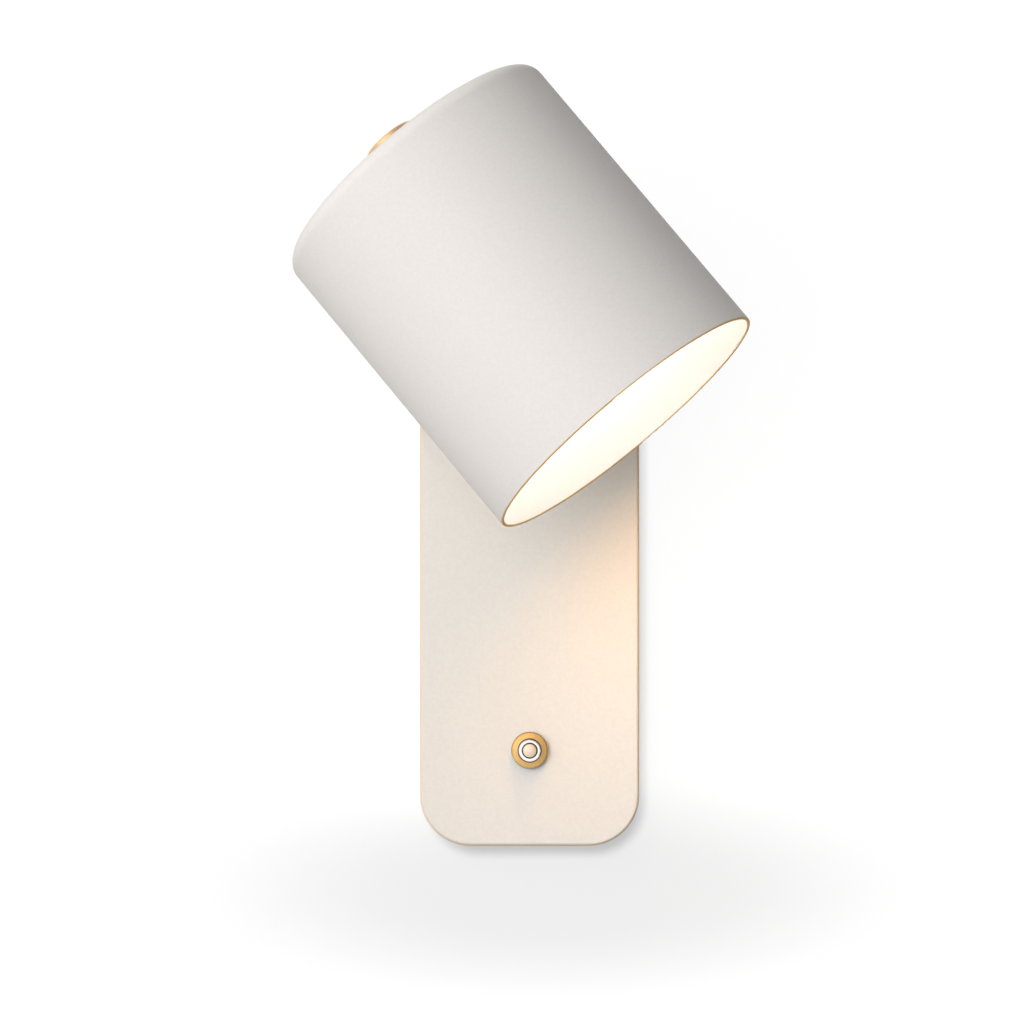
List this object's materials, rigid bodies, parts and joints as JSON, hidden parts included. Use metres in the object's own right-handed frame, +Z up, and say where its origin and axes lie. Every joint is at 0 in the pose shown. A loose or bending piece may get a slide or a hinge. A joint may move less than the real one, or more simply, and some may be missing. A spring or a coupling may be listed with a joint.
{
  "type": "wall reading lamp",
  "caption": "Wall reading lamp: a drum shade with a brass crown cap swivels and tilts in front of a tall rounded backplate that carries a push switch.",
  "frame": {"origin": "on the wall plane, midway between the two wall screws, in the middle of the backplate", "axes": "+Z up, -Y out of the wall towards the room, +X to the right seen from the room"},
  "size_m": [0.1585, 0.1682, 0.2766],
  "materials": {
    "cream_paint": "fine matt powder coat",
    "zinc_steel": "zinc plated",
    "brass": "polished",
    "chrome": "bright",
    "nickel": "nickel plated",
    "button_plastic": "satin",
    "white_plastic": "satin",
    "dark_plastic": "matt",
    "nylon": "matt",
    "black_rubber": "matt",
    "lead_sheath": "smooth",
    "brown_insulation": "smooth",
    "earth_insulation": "smooth",
    "opal_glass": "opal"
  },
  "bodies": {
    "wall_unit": {"wall_bracket": "zinc_steel", "backplate": "cream_paint", "retaining_screws": "zinc_steel", "cable_grommet": "black_rubber", "terminal_block": "white_plastic", "terminal_tubes": "brass", "terminal_screws": "zinc_steel", "block_screw": "zinc_steel", "earth_screw": "brass", "earth_lead": "earth_insulation", "switch_body": "dark_plastic", "switch_bushing": "chrome", "switch_ring_nut": "brass", "switch_washer": "zinc_steel", "switch_tags": "brass", "switch_leads": "brown_insulation", "supply_lead": "lead_sheath", "swivel_bush": "nylon", "inner_washer": "nylon"},
    "button": {"switch_button": "button_plastic", "switch_spring": "zinc_steel"},
    "swivel": {"swivel_stem": "brass", "stop_washer": "zinc_steel", "spring_washer": "zinc_steel", "swivel_nut": "brass", "swivel_yoke": "cream_paint", "tilt_pivots": "brass", "tilt_washers": "nylon"},
    "head": {"tilt_arm": "cream_paint", "saddle_washer": "zinc_steel", "arm_nut": "brass", "shade": "cream_paint", "crown_cap": "brass", "crown_nut": "brass", "nipple": "brass", "lampholder_cap": "white_plastic", "lampholder_body": "white_plastic", "holder_shell": "brass", "holder_contact": "brass", "bulb_globe": "opal_glass", "bulb_cap": "nickel", "bulb_contact": "dark_plastic", "lamp_lead": "lead_sheath"}
  },
  "joints": [
    {"name": "swivel_turn", "type": "hinge", "parent": "wall_unit", "child": "swivel", "pos_m": [0, -0.024, 0.0723], "axis": [0, -1, 0], "range_deg": [-204.6, 125.4]},
    {"name": "shade_tilt", "type": "hinge", "parent": "swivel", "child": "head", "pos_m": [0, -0.038, 0.0723], "axis": [-0.7705, 0, -0.6374], "range_deg": [-27.4, 13.6]},
    {"name": "button_push", "type": "slide", "parent": "wall_unit", "child": "button", "axis": [0, 1, 0], "range_m": [0, 0.0015], "stiffness_N_per_m": 700, "springref_m": -0.0015, "deforming": ["switch_spring"]}
  ]
}
